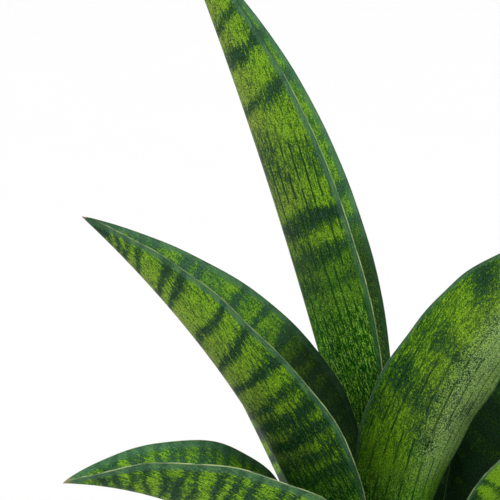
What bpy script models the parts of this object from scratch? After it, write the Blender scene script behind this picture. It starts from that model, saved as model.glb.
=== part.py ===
"""A potted snake plant: eleven folded leaves on one rhizome, in potting mix, in a plain clay pot.

Metres, with +Z up. The origin is the centre of the pot's flat underside and Z is the pot's axis.
Every leaf is a keeled blade swept along a bending midline. It is cut level where it stands on the
crown of the rhizome, and the crown shows a little above the potting mix.
"""

from math import cos, pi, radians, sin
from typing import NamedTuple

import bmesh
import bpy
import numpy as np

GAP = 0.0003  # left between two pieces that touch

# Pot
POT_HEIGHT = 0.115
POT_BASE_RADIUS = 0.045
POT_SHOULDER_RADIUS = 0.0575
POT_RIM_RADIUS = 0.065
POT_RIM_BAND = 0.018
POT_WALL = 0.0045
POT_RIM_WALL = 0.007
POT_FLOOR = 0.006
POT_ROUNDING = 0.0012
DRAIN_RADIUS = 0.0045
DRAIN_RING_RADIUS = 0.022
DRAIN_COUNT = 4
LATHE_STEPS = 56

# Potting mix and rhizome
MIX_TOP = 0.098
MIX_DIP = 0.0015  # how much lower the mix lies at the wall
CROWN_TOP = 0.100
CROWN_STEPS = 44
CROWN_MARGIN = 0.0035  # crown left showing round the leaf bases
RUNNER_RADIUS = 0.008

# Leaf
LEAN_EASE = 1.2  # above 1, a leaf bends more towards its tip
BASE_SHARE = 0.42  # width at the root, as a share of the widest
KEEL_ROUNDING = 0.3  # share of the half width over which the keel turns
THICKNESS_BASE = 0.0045
THICKNESS_TIP = 0.0016
THICKEST_SHARE = 0.25  # of the half width, so that the inside of the keel doesn't pinch
MARGIN_THICKNESS = 0.0009
UNDERCUT = 0.016  # how far a blade starts below the crown before it is cut level
LAST_STATION = 0.985  # the point closes the rest
STATIONS = 17
ACROSS = (-1.0, -0.6, -0.26, 0.0, 0.26, 0.6, 1.0)


class Leaf(NamedTuple):
    """Millimetres and degrees. A pair holds the values at the root and at the tip."""

    name: str
    root: tuple[float, float]
    length: float
    heading: tuple[float, float]  # the way it leans, anticlockwise from +X
    lean: tuple[float, float]  # from upright
    roll: tuple[float, float]
    width: float  # of the blade laid flat
    widest: float  # share of the length
    fold: tuple[float, float]  # each half, up from flat
    taper: float = 1.8


LEAVES = (
    Leaf("leaf_tall", (2, 20), 276, (173, 167), (13, 22), (-2, 10), 80, 0.49, (61, 55), 2.4),
    Leaf("leaf_left", (-16, -10), 194, (197, 148), (13.5, 57), (-14, 17), 83, 0.42, (69, 58)),
    Leaf("leaf_low_left", (-18, -31), 134, (208, 179), (24, 90), (14, 5), 77, 0.45, (65, 48)),
    Leaf("leaf_front_right", (4, -14), 210, (-31, -73), (0, 66), (-34, -53), 58, 0.38, (59, 46)),
    Leaf("leaf_right", (28, -2), 177, (-7, 29), (19, 67.5), (-4, 8), 73, 0.43, (62, 47)),
    Leaf("leaf_back_right", (28, 26), 165, (48, 36), (30, 66), (6, -6), 66, 0.45, (62, 52)),
    Leaf("leaf_back_left", (-20, 22), 150, (150, 138), (20, 52), (-6, 6), 62, 0.45, (64, 54)),
    Leaf("leaf_back_low", (4, 38), 95, (95, 100), (32, 78), (0, 0), 52, 0.45, (64, 50)),
    Leaf("leaf_front_low", (11, -30), 118, (-78, -72), (34, 84), (0, 0), 58, 0.44, (64, 48)),
    Leaf("leaf_right_low", (33, -19), 112, (-24, -12), (46, 92), (0, 0), 56, 0.45, (64, 48)),
    Leaf("leaf_spear", (11, 15), 62, (205, 205), (0, 6), (0, 0), 22, 0.40, (58, 56)),
)


def smoothstep(share):
    share = np.clip(share, 0, 1)
    return share * share * (3 - 2 * share)


def blade_width(leaf, share):
    """Half the flat width at each share of the length."""
    rising = BASE_SHARE + (1 - BASE_SHARE) * smoothstep(share / leaf.widest)
    past = np.clip((share - leaf.widest) / (1 - leaf.widest), 0, 1)
    return leaf.width / 2000 * np.where(share < leaf.widest, rising, 1 - past**leaf.taper)


def between(pair, share):
    return pair[0] + (pair[1] - pair[0]) * share


def midline(leaf, share):
    """Points of the midline, with its direction, its side and its upper face there."""
    lean = np.radians(between(leaf.lean, share**LEAN_EASE))
    heading = np.radians(between(leaf.heading, share))
    roll = np.radians(between(leaf.roll, share))[:, None]
    along = np.stack([np.sin(lean) * np.cos(heading), np.sin(lean) * np.sin(heading), np.cos(lean)], -1)
    inward = np.stack([-np.cos(lean) * np.cos(heading), -np.cos(lean) * np.sin(heading), np.sin(lean)], -1)
    side = np.cross(inward, along)
    middle = (along[1:] + along[:-1]) / 2 * np.diff(share)[:, None] * leaf.length / 1000
    points = np.concatenate([np.zeros((1, 3)), np.cumsum(middle, 0)])
    points += (leaf.root[0] / 1000, leaf.root[1] / 1000, CROWN_TOP + GAP)
    return points, along, np.cos(roll) * side + np.sin(roll) * inward, np.cos(roll) * inward - np.sin(roll) * side


def section(fold):
    """The folded outer line of a blade of half width 1, with the slope at each place across."""
    fine = np.linspace(-1, 1, 81)
    slope = fold * np.tanh(fine / KEEL_ROUNDING) / np.tanh(1 / KEEL_ROUNDING)
    steps = np.diff(fine)
    x = np.concatenate([[0], np.cumsum((np.cos(slope[1:]) + np.cos(slope[:-1])) / 2 * steps)])
    y = np.concatenate([[0], np.cumsum((np.sin(slope[1:]) + np.sin(slope[:-1])) / 2 * steps)])
    x -= x[40]
    y -= y[40]
    return [np.interp(ACROSS, fine, values) for values in (x, y, slope)]


def blade_rings(leaf):
    """Closed loops of points round the blade, from below the crown to near the tip."""
    share = np.linspace(0, 1, 241)
    points, along, side, upper = midline(leaf, share)
    picks = np.round(np.linspace(0, LAST_STATION, STATIONS)[1:] * 240).astype(int)
    stations = [(share[i], points[i], side[i], upper[i]) for i in picks]
    stations.insert(0, (0.0, points[0] - along[0] * UNDERCUT, side[0], upper[0]))
    rings = []
    for at, centre, side_at, upper_at in stations:
        half = float(blade_width(leaf, np.array(at)))
        x, y, slope = section(radians(between(leaf.fold, at)))
        outer = centre + half * (x[:, None] * side_at + y[:, None] * upper_at)
        normal = np.cos(slope)[:, None] * upper_at - np.sin(slope)[:, None] * side_at
        thickest = min(between((THICKNESS_BASE, THICKNESS_TIP), at), THICKEST_SHARE * half)
        edge = min(MARGIN_THICKNESS, thickest)
        depth = edge + (thickest - edge) * (1 - np.abs(ACROSS) ** 2.2)
        inner = outer + normal * depth[:, None]
        rings.append(np.concatenate([outer, inner[::-1]]))
    tip = points[-1]
    return rings, tip


def mesh_object(name, build, at=(0.0, 0.0, 0.0)):
    """A new object at a place, whose mesh is what build adds to a bmesh, with its faces turned outwards."""
    mesh = bpy.data.meshes.new(name)
    bm = bmesh.new()
    build(bm)
    bmesh.ops.recalc_face_normals(bm, faces=bm.faces)
    bmesh.ops.translate(bm, verts=bm.verts, vec=[-value for value in at])
    bm.to_mesh(mesh)
    bm.free()
    obj = bpy.data.objects.new(name, mesh)
    obj.location = at
    bpy.context.scene.collection.objects.link(obj)
    return obj


def bridge(bm, lower, upper):
    count = len(lower)
    for i in range(count):
        bm.faces.new((lower[i], lower[(i + 1) % count], upper[(i + 1) % count], upper[i]))


def add_rings(bm, rings, start_cap=True, end_cap=True):
    """Loops of points joined by quads, with each end closed by one face."""
    loops = [[bm.verts.new(point) for point in ring] for ring in rings]
    for lower, upper in zip(loops, loops[1:]):
        bridge(bm, lower, upper)
    if start_cap:
        bm.faces.new(loops[0])
    if end_cap:
        bm.faces.new(loops[-1])
    return loops


def make_leaf(leaf):
    def build(bm):
        rings, tip = blade_rings(leaf)
        loops = add_rings(bm, rings, end_cap=False)
        point = bm.verts.new(tip)
        last = loops[-1]
        for i in range(len(last)):
            bm.faces.new((last[i], last[(i + 1) % len(last)], point))
        everything = list(bm.verts) + list(bm.edges) + list(bm.faces)
        level = (0, 0, CROWN_TOP + GAP)
        cut = bmesh.ops.bisect_plane(bm, geom=everything, plane_co=level, plane_no=(0, 0, 1), clear_inner=True)
        rim = [piece for piece in cut["geom_cut"] if isinstance(piece, bmesh.types.BMEdge)]
        bmesh.ops.contextual_create(bm, geom=rim)

    return mesh_object(leaf.name, build, (leaf.root[0] / 1000, leaf.root[1] / 1000, CROWN_TOP + GAP))


def circle(radius, height, steps=LATHE_STEPS):
    return [(radius * cos(2 * pi * i / steps), radius * sin(2 * pi * i / steps), height) for i in range(steps)]


def pot_outside(height):
    """Radius of the tapering body's outside at a height."""
    shoulder = POT_HEIGHT - POT_RIM_BAND
    return POT_BASE_RADIUS + (POT_SHOULDER_RADIUS - POT_BASE_RADIUS) * height / shoulder


def pot_inside(height):
    """Radius of the pot's inside at a height: one taper from the floor to the lip."""
    low = pot_outside(POT_FLOOR) - POT_WALL
    high = POT_RIM_RADIUS - POT_RIM_WALL
    return low + (high - low) * (height - POT_FLOOR) / (POT_HEIGHT - POT_FLOOR)


def make_pot():
    shoulder = POT_HEIGHT - POT_RIM_BAND
    soft = POT_ROUNDING
    band_foot = POT_RIM_RADIUS - 0.0015
    profile = [
        (POT_BASE_RADIUS - soft, 0),
        (POT_BASE_RADIUS, soft),
        (pot_outside(shoulder / 2), shoulder / 2),
        (POT_SHOULDER_RADIUS, shoulder),
        (band_foot - soft, shoulder + 0.0006),
        (band_foot, shoulder + 0.0006 + soft),
        (POT_RIM_RADIUS, POT_HEIGHT - 2 * soft),
        (POT_RIM_RADIUS - soft, POT_HEIGHT - soft / 3),
        (POT_RIM_RADIUS - 2.4 * soft, POT_HEIGHT),
        (pot_inside(POT_HEIGHT) + 1.4 * soft, POT_HEIGHT),
        (pot_inside(POT_HEIGHT) + 0.3 * soft, POT_HEIGHT - soft / 2),
        (pot_inside(POT_HEIGHT - 2 * soft), POT_HEIGHT - 2 * soft),
        (pot_inside(POT_FLOOR + 2 * soft), POT_FLOOR + 2 * soft),
        (pot_inside(POT_FLOOR) - 2 * soft, POT_FLOOR),
    ]
    pot = mesh_object("pot", lambda bm: add_rings(bm, [circle(r, z) for r, z in profile]))
    for i in range(DRAIN_COUNT):
        angle = 2 * pi * (i + 0.5) / DRAIN_COUNT
        x, y = DRAIN_RING_RADIUS * cos(angle), DRAIN_RING_RADIUS * sin(angle)
        rings = [[(x + px, y + py, z) for px, py, z in circle(DRAIN_RADIUS, z, 20)] for z in (-0.002, POT_FLOOR + 0.002)]
        cut_with(pot, mesh_object(f"drain_cutter_{i}", lambda bm, rings=rings: add_rings(bm, rings)))
    return pot


def cut_with(target, cutter, operation="DIFFERENCE"):
    cutter.hide_render = True
    cutter.display_type = "WIRE"
    modifier = target.modifiers.new(cutter.name, "BOOLEAN")
    modifier.operation = operation
    modifier.object = cutter
    modifier.solver = "EXACT"


def crown_outline():
    """Radius of the lobed crown in each direction: enough to stand every leaf base on."""
    angles = np.arange(CROWN_STEPS) * 2 * pi / CROWN_STEPS
    reach = np.full(CROWN_STEPS, 0.026)
    for leaf in LEAVES:
        rings, _ = blade_rings(leaf)
        for ring in rings[:3]:
            for x, y, z in ring:
                if z > CROWN_TOP + 0.003:
                    continue
                off = np.abs((angles - np.arctan2(y, x) + pi) % (2 * pi) - pi)
                needed = np.hypot(x, y) + CROWN_MARGIN - 0.02 * np.maximum(off - 0.12, 0)
                reach = np.maximum(reach, np.where(off < 0.9, needed, 0))
    soft = (np.roll(reach, 1) + 2 * reach + np.roll(reach, -1)) / 4
    return angles, np.maximum(soft, reach - 0.0008)


def crown_rings(grow, top):
    """Loops of the crown from its underside to its top, every radius larger by grow."""
    angles, reach = crown_outline()
    levels = ((0.070, 0.35), (0.076, 0.66), (0.084, 0.90), (0.092, 1.0), (0.0985, 1.0), (CROWN_TOP, 0.975))
    rings = []
    for height, share in levels:
        height = height - grow if share < 0.9 else height
        radius = reach * share + grow
        rings.append([(r * cos(a), r * sin(a), height) for a, r in zip(angles, radius)])
    if top > CROWN_TOP:
        rings[-1] = [(x, y, top) for x, y, _ in rings[-2]]
    return rings


def runner_rings(start, end, grow):
    """A blunt, slightly swollen length of rhizome from start to end."""
    start, end = np.array(start), np.array(end)
    along = (end - start) / np.linalg.norm(end - start)
    side = np.cross(along, (0, 0, 1))
    side /= np.linalg.norm(side)
    rise = np.cross(side, along)
    length = np.linalg.norm(end - start)
    shares = ((0.0, 0.5), (0.05, 0.85), (0.3, 0.95), (0.5, 0.88), (0.7, 1.0), (0.9, 0.85), (1.0, 0.4))
    rings = []
    for share, size in shares:
        centre = start + along * (share * (length + 2 * grow) - grow)
        radius = RUNNER_RADIUS * size + grow
        turns = [2 * pi * i / 12 for i in range(12)]
        rings.append([centre + radius * (side * cos(a) + rise * sin(a)) for a in turns])
    return rings


RUNNERS = (
    ((-0.006, 0.004, 0.078), (-0.040, 0.016, 0.066)),
    ((0.004, -0.006, 0.078), (0.034, -0.024, 0.062)),
    ((0.004, 0.008, 0.078), (0.020, 0.038, 0.070)),
)


def make_rhizome(name, grow, top):
    body = mesh_object(name, lambda bm: add_rings(bm, crown_rings(grow, top)))
    for i, (start, end) in enumerate(RUNNERS):
        rings = runner_rings(start, end, grow)
        runner = mesh_object(f"{name}_runner_{i}", lambda bm, rings=rings: add_rings(bm, rings))
        cut_with(body, runner, "UNION")
    return body


def make_potting_mix():
    low, high = POT_FLOOR + GAP, MIX_TOP - MIX_DIP
    profile = [
        (pot_inside(low) - 2 * POT_ROUNDING - GAP, low),
        (pot_inside(low + 2.6 * POT_ROUNDING) - GAP, low + 2.6 * POT_ROUNDING),
        (pot_inside(high) - GAP, high),
        (pot_inside(high) - GAP - 0.005, MIX_TOP),
    ]
    mix = mesh_object("potting_mix", lambda bm: add_rings(bm, [circle(r, z) for r, z in profile]))
    cut_with(mix, make_rhizome("rhizome_cutter", GAP, MIX_TOP + 0.01))
    return mix


def paint(obj, colour, roughness):
    material = bpy.data.materials.new(obj.name)
    material.use_nodes = True
    shader = material.node_tree.nodes["Principled BSDF"]
    shader.inputs["Base Color"].default_value = (*colour, 1)
    shader.inputs["Roughness"].default_value = roughness
    obj.data.materials.append(material)


def main():
    for obj in list(bpy.data.objects):
        bpy.data.objects.remove(obj)
    whole = bpy.data.objects.new("snake_plant_in_pot", None)
    bpy.context.scene.collection.objects.link(whole)
    pieces = [make_leaf(leaf) for leaf in LEAVES]
    for i, piece in enumerate(pieces):
        paint(piece, (0.045 + 0.004 * i, 0.12 + 0.012 * (i % 4), 0.02), 0.4)
    rhizome = make_rhizome("rhizome", 0.0, CROWN_TOP)
    paint(rhizome, (0.36, 0.20, 0.07), 0.7)
    mix = make_potting_mix()
    paint(mix, (0.035, 0.022, 0.014), 0.95)
    pot = make_pot()
    paint(pot, (0.55, 0.20, 0.10), 0.85)
    for piece in (*pieces, rhizome, mix, pot):
        piece.parent = whole


main()
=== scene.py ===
"""A potted snake plant: eleven banded leaves on a rhizome, in potting mix, in a plain clay pot.

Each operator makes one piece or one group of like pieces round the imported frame. Metres, +Z up.
"""

from math import cos, pi, radians, sin
from random import Random
from typing import NamedTuple

import bmesh
import bpy
import numpy as np
from mathutils import Matrix, Vector, noise


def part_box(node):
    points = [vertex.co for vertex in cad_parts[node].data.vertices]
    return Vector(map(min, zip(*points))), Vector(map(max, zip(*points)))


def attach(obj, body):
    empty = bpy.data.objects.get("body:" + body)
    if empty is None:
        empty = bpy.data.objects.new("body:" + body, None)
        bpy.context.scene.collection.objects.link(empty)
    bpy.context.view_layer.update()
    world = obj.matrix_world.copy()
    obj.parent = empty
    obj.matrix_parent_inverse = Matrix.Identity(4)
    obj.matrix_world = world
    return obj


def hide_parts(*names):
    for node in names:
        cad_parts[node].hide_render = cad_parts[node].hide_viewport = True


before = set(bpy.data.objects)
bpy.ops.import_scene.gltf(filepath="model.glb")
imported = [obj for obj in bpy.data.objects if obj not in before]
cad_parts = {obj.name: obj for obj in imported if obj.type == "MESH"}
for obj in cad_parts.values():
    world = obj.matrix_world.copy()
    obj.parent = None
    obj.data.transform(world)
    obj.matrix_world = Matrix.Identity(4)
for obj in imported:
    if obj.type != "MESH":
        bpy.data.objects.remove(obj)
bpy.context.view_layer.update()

bl_info = {
    "name": "Potted snake plant",
    "version": (1, 0, 0),
    "blender": (4, 5, 0),
    "location": "View3D > Sidebar > Snake plant",
    "description": "Banded leaves, rhizome, potting mix, clay pot and a plain studio",
    "category": "Add Mesh",
}

CROWN_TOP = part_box("rhizome")[1][2]
MIX_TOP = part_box("potting_mix")[1][2]
POT_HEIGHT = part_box("pot")[1][2]
POT_RIM_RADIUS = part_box("pot")[1][0]


def colour_of(red, green, blue):
    """A screen colour, 0 to 255, as the linear colour that a shader takes."""
    parts = [value / 255 for value in (red, green, blue)]
    return tuple(p / 12.92 if p <= 0.04045 else ((p + 0.055) / 1.055) ** 2.4 for p in parts)


# What a user would change


def colour_property(name, description, default):
    return bpy.props.FloatVectorProperty(
        name=name, description=description, subtype="COLOR", size=3, min=0.0, max=1.0, default=default
    )


def number_property(name, description, default, **more):
    return bpy.props.FloatProperty(name=name, description=description, default=default, **more)


class LeafLook(bpy.types.PropertyGroup):
    """Colours and finish of the leaves."""

    light: colour_property("Light bands", "Yellow-green between the dark bands", colour_of(120, 168, 28))
    middle: colour_property("Grain", "Middle green of the grain between the bands", colour_of(44, 94, 20))
    # painted sheen: the greyer green beside the keel stands in for grazing reflection
    pale: colour_property("Pale keel", "Greyer green beside the keel", colour_of(138, 150, 66))
    dark: colour_property("Dark bands", "Deep green of the cross bands", colour_of(24, 58, 30))
    deep: colour_property("Leaf base", "Saturated green low on the blade", colour_of(14, 84, 12))
    fleck: colour_property("Flecks", "Light lengthwise flecks low on the blade", colour_of(132, 184, 62))
    margin: colour_property("Margin band", "Grey-green band along the margin", colour_of(72, 116, 86))
    edge: colour_property("Edge line", "Thin pale line on the very edge", colour_of(176, 194, 140))
    # painted sky reflection: the cool tint of the inner face
    upper: colour_property("Upper face", "Cool tint of the inner, upper face", colour_of(46, 104, 52))
    dry: colour_property("Dry tip", "Dried point of the blade", colour_of(150, 138, 100))
    margin_width: number_property("Margin width", "Width of the grey-green band", 0.0028, unit="LENGTH")
    wave: number_property("Edge wave", "How far the margins wave in and out", 0.0005, unit="LENGTH")
    gloss: number_property("Roughness", "Roughness of the waxy skin", 0.55, subtype="FACTOR")


class PotLook(bpy.types.PropertyGroup):
    """Colours and finish of the clay pot."""

    clay: colour_property("Clay", "Fired clay colour", colour_of(180, 100, 68))
    bloom: colour_property("Lime bloom", "Pale mineral bloom on the outside", colour_of(222, 196, 176))
    damp: colour_property("Damp clay", "Darker clay where water soaks through", colour_of(140, 76, 52))
    roughness: number_property("Roughness", "Roughness of the bare clay", 0.85, subtype="FACTOR")


class MixLook(bpy.types.PropertyGroup):
    """What the potting mix is made of."""

    peat: colour_property("Peat", "Dark crumbly base of the mix", colour_of(58, 42, 32))
    bark: colour_property("Bark", "Bark chips", colour_of(112, 76, 50))
    perlite: colour_property("Perlite", "White mineral grains", colour_of(226, 222, 212))
    rhizome: colour_property("Rhizome", "Skin of the rhizome's crown", colour_of(134, 98, 62))
    crumbs: bpy.props.IntProperty(name="Crumbs", description="Peat crumbs on the surface", default=1500)
    chips: bpy.props.IntProperty(name="Bark chips", description="Bark chips on the surface", default=110)
    grains: bpy.props.IntProperty(name="Perlite grains", description="Grains on the surface", default=230)


class StageLook(bpy.types.PropertyGroup):
    """The floor, the light and the camera."""

    floor: colour_property("Floor", "Pale seamless floor", (0.93, 0.93, 0.93))
    sky: number_property("Surround", "Light from the white surround", 0.42)
    key: number_property("Key light", "Soft key light", 2.1)
    fill: number_property("Fill light", "Soft fill light", 0.9)
    lens: number_property("Lens", "Focal length", 125.0, unit="CAMERA")
    elevation: number_property("Elevation", "How far the camera looks down", radians(13), subtype="ANGLE")
    distance: number_property("Distance", "From the camera to what it looks at", 0.65, unit="LENGTH")
    aim: bpy.props.FloatVectorProperty(
        name="Aim", description="What the camera looks at", default=(-0.0505, 0.0, 0.248), subtype="XYZ"
    )


# Shader building


class Sheet:
    """Adds nodes to one tree. A value given to a socket is a number, a colour or another node's output."""

    def __init__(self, tree):
        self.tree = tree

    def feed(self, socket, value):
        if isinstance(value, bpy.types.NodeSocket):
            self.tree.links.new(value, socket)
        elif value is not None:
            wanted = len(socket.default_value) if hasattr(socket.default_value, "__len__") else 0
            socket.default_value = (*value, 1.0) if wanted == 4 and len(value) == 3 else value

    def node(self, kind, fed=None, **settings):
        """A new node with its settings made and its inputs, by place or name, fed."""
        made = self.tree.nodes.new(kind)
        for name, value in settings.items():
            setattr(made, name, value)
        for socket, value in (fed or {}).items():
            self.feed(made.inputs[socket], value)
        return made

    def math(self, operation, first, second=None, third=None, clamp=False):
        fed = {0: first, 1: second, 2: third}
        return self.node("ShaderNodeMath", fed, operation=operation, use_clamp=clamp).outputs[0]

    def times(self, first, second, clamp=False):
        return self.math("MULTIPLY", first, second, clamp=clamp)

    def plus(self, first, second):
        return self.math("ADD", first, second)

    def scaled(self, value, scale, shift):
        """Value times scale, plus shift."""
        return self.math("MULTIPLY_ADD", value, scale, shift)

    def blend(self, factor, first, second, mode="MIX"):
        fed = {"Factor": factor, 6: first, 7: second}
        return self.node("ShaderNodeMix", fed, data_type="RGBA", blend_type=mode).outputs[2]

    def ramp(self, value, low, high, start=0.0, end=1.0):
        """Value carried smoothly from low..high to start..end, and held outside."""
        fed = {"Value": value, "From Min": low, "From Max": high, "To Min": start, "To Max": end}
        return self.node("ShaderNodeMapRange", fed, interpolation_type="SMOOTHSTEP").outputs[0]

    def stretch(self, vector, scale, shift=(0.0, 0.0, 0.0)):
        fed = {"Vector": vector, "Scale": scale, "Location": shift}
        return self.node("ShaderNodeMapping", fed).outputs[0]

    def noise(self, vector, scale=1.0, detail=2.0, rough=0.5):
        fed = {"Vector": vector, "Scale": scale, "Detail": detail, "Roughness": rough}
        return self.node("ShaderNodeTexNoise", fed).outputs["Fac"]

    def split(self, vector):
        return self.node("ShaderNodeSeparateXYZ", {0: vector}).outputs

    def join(self, x, y, z):
        return self.node("ShaderNodeCombineXYZ", {0: x, 1: y, 2: z}).outputs[0]

    def attribute(self, name, output="Fac"):
        return self.node("ShaderNodeAttribute", attribute_name=name).outputs[output]

    def object_place(self):
        return self.node("ShaderNodeTexCoord").outputs["Object"]


def new_group(name, inputs, outputs):
    """An empty shader node group with its sockets, as (tree, sheet, input sockets, output node)."""
    tree = bpy.data.node_groups.new(name, "ShaderNodeTree")
    for label, kind, default in inputs:
        socket = tree.interface.new_socket(label, in_out="INPUT", socket_type=kind)
        if default is not None:
            socket.default_value = default
    for label, kind in outputs:
        tree.interface.new_socket(label, in_out="OUTPUT", socket_type=kind)
    given = tree.nodes.new("NodeGroupInput").outputs
    return tree, Sheet(tree), given, tree.nodes.new("NodeGroupOutput")


FLOAT, COLOUR, VECTOR = "NodeSocketFloat", "NodeSocketColor", "NodeSocketVector"
GREEN = (0.1, 0.3, 0.05, 1.0)
# near-black green of the painted shade inside the fold, low on the blade
PAINTED_SHADE = (0.006, 0.018, 0.003)
LEAF_COLOURS = ("Light", "Middle", "Pale", "Dark", "Deep", "Fleck", "Margin", "Edge", "Upper", "Dry")
LEAF_MAPS = ("Place", "Marks", "Zones", "Ends")
LEAF_VALUES = ("Shade", "Margin width", "Raggedness", "Line spacing")


def leaf_pattern_group():
    """Ragged cross bands, grain, keel, flecks, dark lines, margin band and edge line of a blade.

    Place is millimetres across and along the blade and a seed. Marks is darkness, dark lines and
    the strength of the painted sheen by the keel. Zones is millimetres from the margin, upper face, and
    nearness to the base. Ends is millimetres from the point, strength of the edge line, and strength
    of the painted glints on the grain. Shade is the strength of the painted shade inside the fold,
    low on the blade.
    """
    inputs = [(name, VECTOR, None) for name in LEAF_MAPS]
    inputs += [(name, COLOUR, GREEN) for name in LEAF_COLOURS]
    inputs += [(name, FLOAT, None) for name in LEAF_VALUES]
    outputs = [("Color", COLOUR), ("Roughness", FLOAT), ("Height", FLOAT)]
    tree, sheet, given, end = new_group("Leaf pattern", inputs, outputs)
    place = given["Place"]
    math, times, plus, scaled = sheet.math, sheet.times, sheet.plus, sheet.scaled
    blend, ramp = sheet.blend, sheet.ramp
    across, along, seed = sheet.split(place)
    darkness, lined, pale = sheet.split(given["Marks"])
    margin_gap, upper, base = sheet.split(given["Zones"])
    tip_gap, edge_strength, painted_glint = sheet.split(given["Ends"])
    light, middle, keel, dark, deep, fleck, margin, edge, inner, dry = (given[name] for name in LEAF_COLOURS)
    shade, width, raggedness, spacing = (given[name] for name in LEAF_VALUES)

    def speckle(wide, tall, shift, detail=2.0, rough=0.5):
        """Noise with that many features a millimetre across and along the blade."""
        return sheet.noise(sheet.stretch(place, (wide, tall, 1.0), (0, 0, shift)), 1.0, detail, rough)

    def swing(noise, amount):
        return times(math("SUBTRACT", noise, 0.5), amount)

    teeth = speckle(0.95, 0.26, 0, rough=0.6)
    grain = speckle(1.9, 1.1, 7, 4.0, 0.75)
    cloud = speckle(0.13, 0.08, 3, 3.0, 0.55)
    strand = speckle(1.9, 0.09, 11)
    flecks = speckle(1.25, 0.33, 19, 4.0, 0.65)
    pores = speckle(2.3, 1.5, 31, rough=0.75)
    patchy = speckle(0.2, 0.16, 23, 3.0)

    # Where each colour shows
    ragged = plus(swing(teeth, times(raggedness, 1.9)), swing(grain, 2.3))
    spread = plus(darkness, plus(ragged, swing(cloud, 0.9)))
    grained = ramp(plus(spread, swing(flecks, 1.5)), 0.12, 0.40)
    banded = ramp(spread, 0.53, 0.70)
    # painted sheen by the keel, standing in for grazing reflection of the white surround
    painted_keel_sheen = times(pale, ramp(cloud, 0.25, 0.7, 0.6, 1.0), clamp=True)
    # painted glints: whitish grain on one half of the outer face, standing in for highlights
    white = times(ramp(grain, 0.56, 0.42), times(painted_glint, 0.95), clamp=True)
    low = times(base, ramp(cloud, 0.2, 0.6, 0.8, 1.0))
    flecked = ramp(plus(flecks, swing(grain, 0.6)), 0.47, 0.60)
    flecked = times(flecked, times(base, math("SUBTRACT", 1.45, darkness, clamp=True)))
    # painted sky reflection: a cool tint on the inner face
    painted_sky_sheen = times(upper, ramp(cloud, 0.3, 0.7, 0.15, 0.55))
    painted_sky_sheen = times(painted_sky_sheen, math("SUBTRACT", 1.0, low))
    gap = scaled(math("SUBTRACT", teeth, 0.5), -3.0, margin_gap)
    rim = ramp(plus(gap, swing(grain, 2.0)), times(width, 1.1), times(width, 0.6))
    trace = times(ramp(margin_gap, 0.12, 0.02), edge_strength, clamp=True)
    trace = times(trace, ramp(patchy, 0.40, 0.58, 0.12, 0.95))
    dried = ramp(scaled(grain, -2.0, tip_gap), 2.2, 0.4)

    # Broken lines along the blade
    sway = scaled(speckle(0.05, 0.03, 0), 1.6, across)
    cell = math("FLOOR", math("DIVIDE", sway, spacing))
    half = math("DIVIDE", spacing, 2.0)
    reach = math("SUBTRACT", half, math("PINGPONG", sway, half))
    thin = ramp(plus(reach, swing(grain, 0.5)), 0.56, 0.28)
    dash = sheet.noise(sheet.join(times(cell, 5.3), times(along, 0.10), seed), detail=1.0)
    line = times(times(thin, ramp(dash, 0.42, 0.48)), lined)

    # The colours themselves
    paled = blend(ramp(strand, 0.45, 0.7, 0.0, 0.25), blend(painted_keel_sheen, light, keel), fleck)
    ground = blend(times(grained, 0.85), paled, blend(times(painted_keel_sheen, 0.45), middle, keel))
    band = blend(ramp(teeth, 0.45, 0.7, 0.0, 0.35), dark, margin)
    band = blend(ramp(grain, 0.46, 0.3, 0.0, 0.3), band, middle)
    depth = blend(ramp(cloud, 0.35, 0.65, 0.0, 0.6), deep, dark)
    border = blend(times(banded, 0.4), margin, dark)
    border = blend(times(base, 0.55), border, deep)
    border = blend(ramp(grain, 0.5, 0.3, 0.0, 0.35), border, fleck)
    # painted shade over the margin band inside the fold
    border = blend(times(shade, 0.6), border, PAINTED_SHADE)

    def layered(colour, *layers):
        for share, over in layers:
            colour = blend(share, colour, over)
        return colour

    colour = layered(
        ground,
        # painted glints on the grain
        (white, blend(0.45, edge, fleck)),
        (banded, band),
        (low, depth),
        (flecked, fleck),
        (times(line, 0.9), blend(base, dark, deep)),
        # painted sky reflection on the inner face
        (painted_sky_sheen, blend(times(banded, 0.75), inner, margin)),
        # painted shade inside the fold, low on the blade
        (times(shade, 0.78), PAINTED_SHADE),
    )
    pored = ramp(pores, 0.36, 0.64, scaled(base, -0.2, 0.42), scaled(base, 0.7, 1.6))
    colour = layered(
        blend(1.0, colour, pored, mode="MULTIPLY"),
        (times(rim, 0.78), border),
        # painted shadow line just inside the pale edge line
        (ramp(margin_gap, 0.5, 0.1, 0.0, 0.5), dark),
        (trace, edge),
        (dried, dry),
    )
    ridge = scaled(line, -0.6, scaled(strand, 0.7, times(grain, 0.35)))
    sheet.feed(end.inputs["Color"], colour)
    sheet.feed(end.inputs["Roughness"], plus(swing(grain, 0.3), times(banded, -0.05)))
    sheet.feed(end.inputs["Height"], scaled(dried, 0.5, ridge))
    return tree


WEATHERED_COLOURS = ("Base", "Patch", "Speck")
WEATHERED_SIZES = ("Patch amount", "Speck amount", "Cloud size", "Grain size")


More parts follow.
